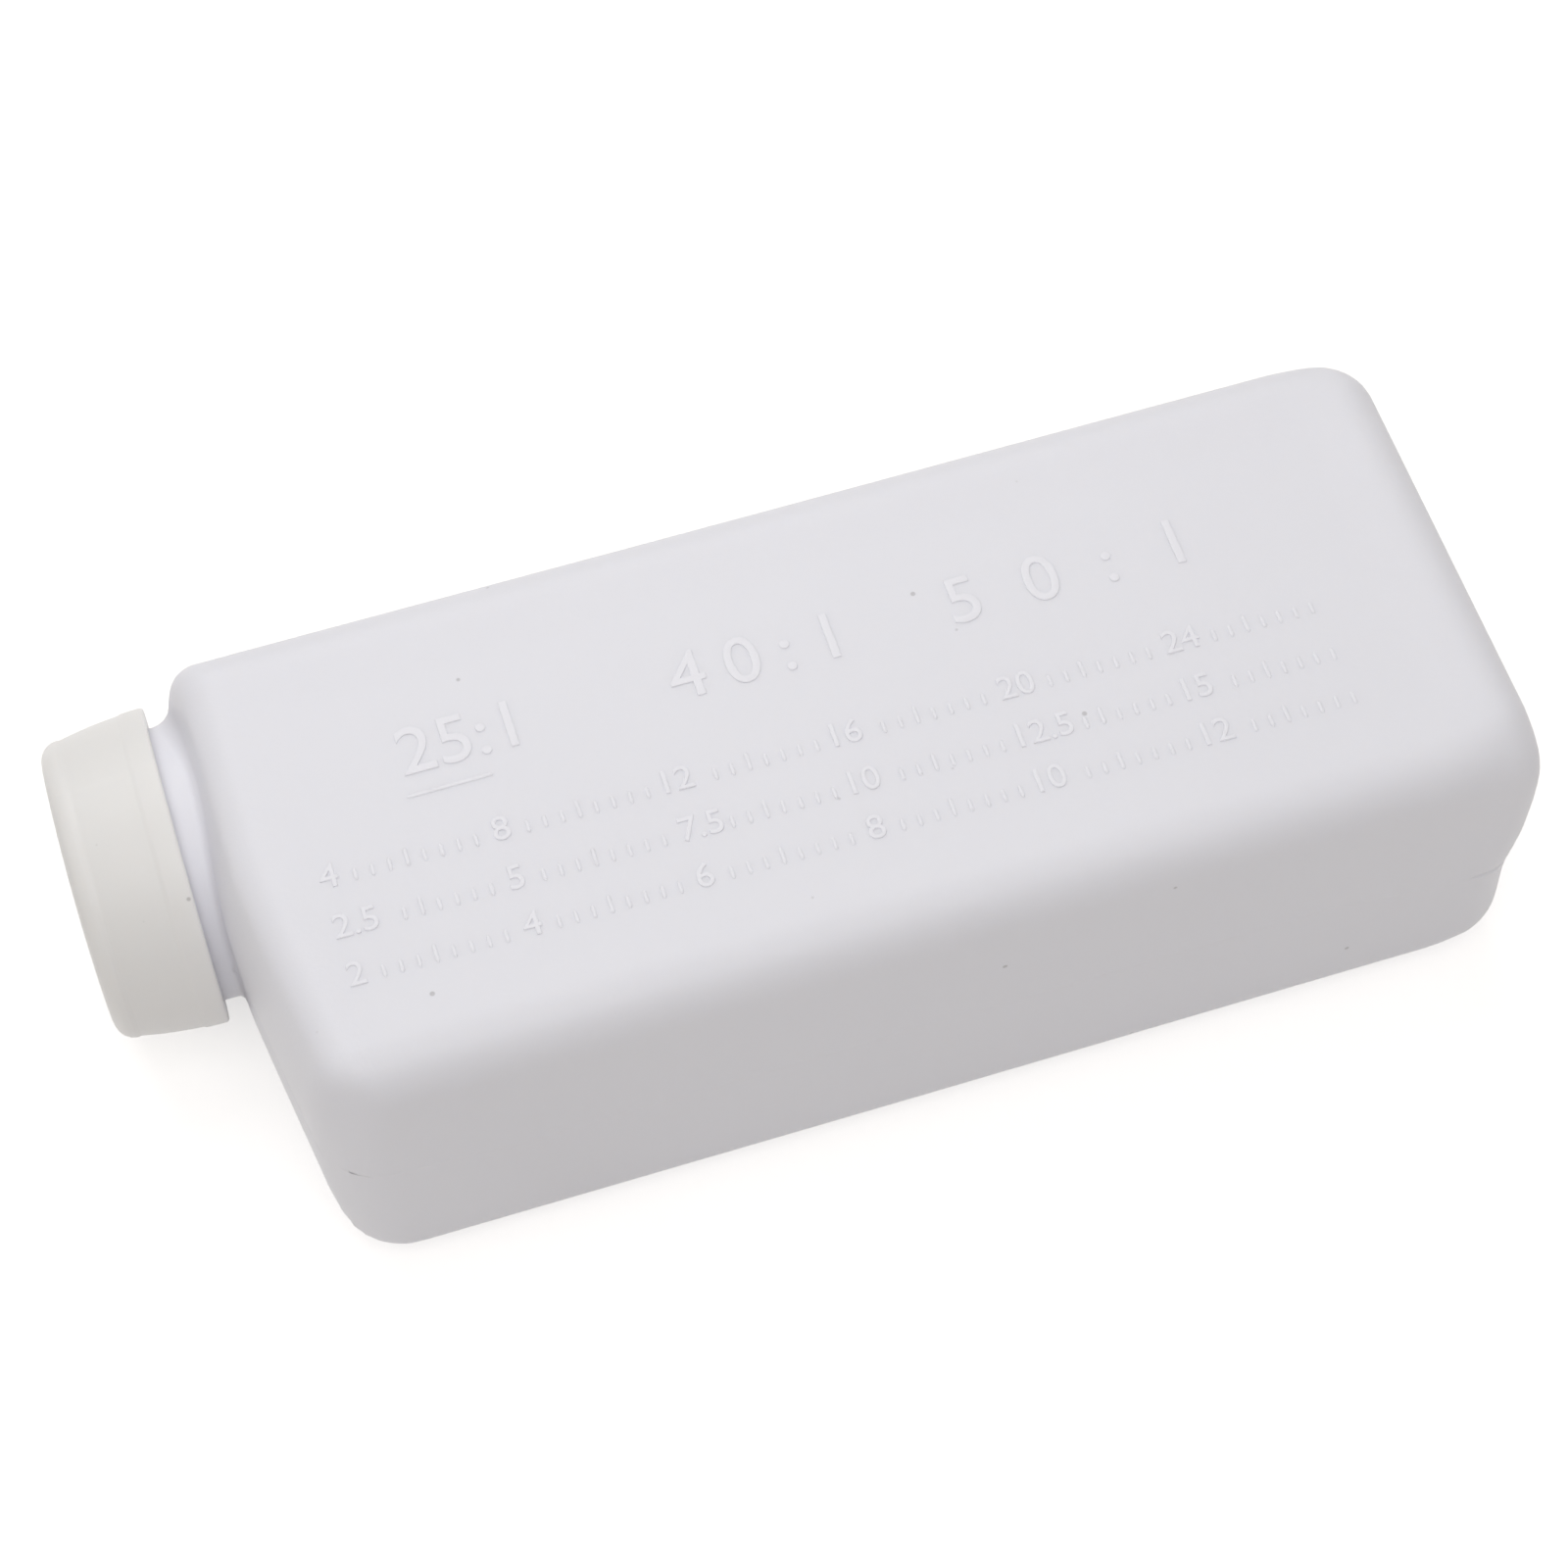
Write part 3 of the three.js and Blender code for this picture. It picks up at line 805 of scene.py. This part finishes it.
def cell_foam():
    """A matt white whose bump comes from small cells, and whose colour drifts a little on a larger
    noise."""
    material, shader = plain_material("cell_foam", {
        "Roughness": FOAM_ROUGHNESS,
        "Specular IOR Level": FOAM_GLOSS})
    links = material.node_tree.links
    place = add_node(material, "TexCoord", {})
    drift = add_node(material, "TexNoise", {"Scale": FOAM_DRIFT_SCALE})
    blend = color_mix(material, *FOAM_WHITES)
    cells = add_node(material, "TexVoronoi", {"Scale": FOAM_CELL_SCALE})
    bump = add_node(material, "Bump", {"Strength": FOAM_CELL_STRENGTH, "Distance": FOAM_CELL_DEPTH})
    for texture in (drift, cells):
        links.new(place.outputs["Object"], texture.inputs["Vector"])
    links.new(drift.outputs["Fac"], blend.inputs["Factor"])
    links.new(blend.outputs["Result"], shader.inputs["Base Color"])
    links.new(cells.outputs["Distance"], bump.inputs["Height"])
    links.new(bump.outputs["Normal"], shader.inputs["Normal"])
    return material


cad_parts["sealing_disc"].material_slots[0].material = cell_foam()


# White seamless surround: the floor is bright to the camera and keeps a soft shadow of the bottle.
FLOOR_COLOR = (0.74, 0.725, 0.71)
FLOOR_ROUGHNESS = 0.9
FLOOR_LIFT = 0.56
FLOOR_SIZE = 6.0
WHITE = (1.0, 1.0, 1.0)


def seen_directly(owner):
    """1 where the camera looks, straight, in a gloss or through something clear, and 0 where light
    is gathered."""
    links = owner.node_tree.links
    path = add_node(owner, "LightPath", {})
    either = add_node(owner, "Math", {})
    either.operation = "MAXIMUM"
    any_of = add_node(owner, "Math", {})
    any_of.operation = "MAXIMUM"
    links.new(path.outputs["Is Camera Ray"], either.inputs[0])
    links.new(path.outputs["Is Glossy Ray"], either.inputs[1])
    links.new(either.outputs["Value"], any_of.inputs[0])
    links.new(path.outputs["Is Transmission Ray"], any_of.inputs[1])
    return any_of.outputs["Value"]


def white_floor():
    """A plain square. To the camera it also glows a little, which carries its unshaded part to white."""
    half = FLOOR_SIZE / 2
    corners = [(-half, -half, 0), (half, -half, 0), (half, half, 0), (-half, half, 0)]
    mesh = bpy.data.meshes.new("floor")
    mesh.from_pydata(corners, [], [(0, 1, 2, 3)])
    floor = bpy.data.objects.new("floor", mesh)
    bpy.context.scene.collection.objects.link(floor)
    material, shader = plain_material("floor_white", {
        "Base Color": (*FLOOR_COLOR, 1.0),
        "Roughness": FLOOR_ROUGHNESS,
        "Specular IOR Level": 0.0,
        "Emission Color": (*WHITE, 1.0)})
    lift = add_node(material, "Math", {1: FLOOR_LIFT})
    lift.operation = "MULTIPLY"
    links = material.node_tree.links
    links.new(seen_directly(material), lift.inputs[0])
    links.new(lift.outputs["Value"], shader.inputs["Emission Strength"])
    mesh.materials.append(material)


white_floor()


# Plain studio light: an even, slightly warm surround, one soft lamp overhead on the far side,
# and larger ones high on the near side and from the cap's end.
SURROUND_COLOR = (0.445, 0.43, 0.415)
OVERHEAD_FROM = (-0.03, 0.29, 0.48)
OVERHEAD_SIZE = 0.5
OVERHEAD_POWER = 1.0
OVERHEAD_COLOR = (0.98, 0.99, 1.0)
FRONT_FROM = (-0.083, -0.50, 0.95)
FRONT_SIZE = 0.7
FRONT_POWER = 2.3
END_FROM = (-0.9, -0.05, 0.6)
END_SIZE = 0.8
END_POWER = 0.4


def white_surround():
    """The world is white where the camera sees it, and lights the object with its own colour."""
    world = bpy.data.worlds.new("surround")
    bpy.context.scene.world = world
    world.use_nodes = True
    links = world.node_tree.links
    background = world.node_tree.nodes["Background"]
    shown = color_mix(world, SURROUND_COLOR, WHITE)
    links.new(seen_directly(world), shown.inputs["Factor"])
    links.new(shown.outputs["Result"], background.inputs["Color"])


def soft_lamp(name, place, size, power, color):
    """A square lamp of the given side that faces the origin."""
    data = bpy.data.lights.new(name, "AREA")
    data.energy = power
    data.size = size
    data.color = color
    lamp = bpy.data.objects.new(name, data)
    bpy.context.scene.collection.objects.link(lamp)
    lamp.location = place
    lamp.rotation_mode = "QUATERNION"
    lamp.rotation_quaternion = (-Vector(place)).to_track_quat("-Z", "Y")


white_surround()
soft_lamp("overhead_lamp", OVERHEAD_FROM, OVERHEAD_SIZE, OVERHEAD_POWER, OVERHEAD_COLOR)
soft_lamp("front_lamp", FRONT_FROM, FRONT_SIZE, FRONT_POWER, WHITE)
soft_lamp("end_lamp", END_FROM, END_SIZE, END_POWER, WHITE)
bpy.context.scene.view_settings.view_transform = "Standard"
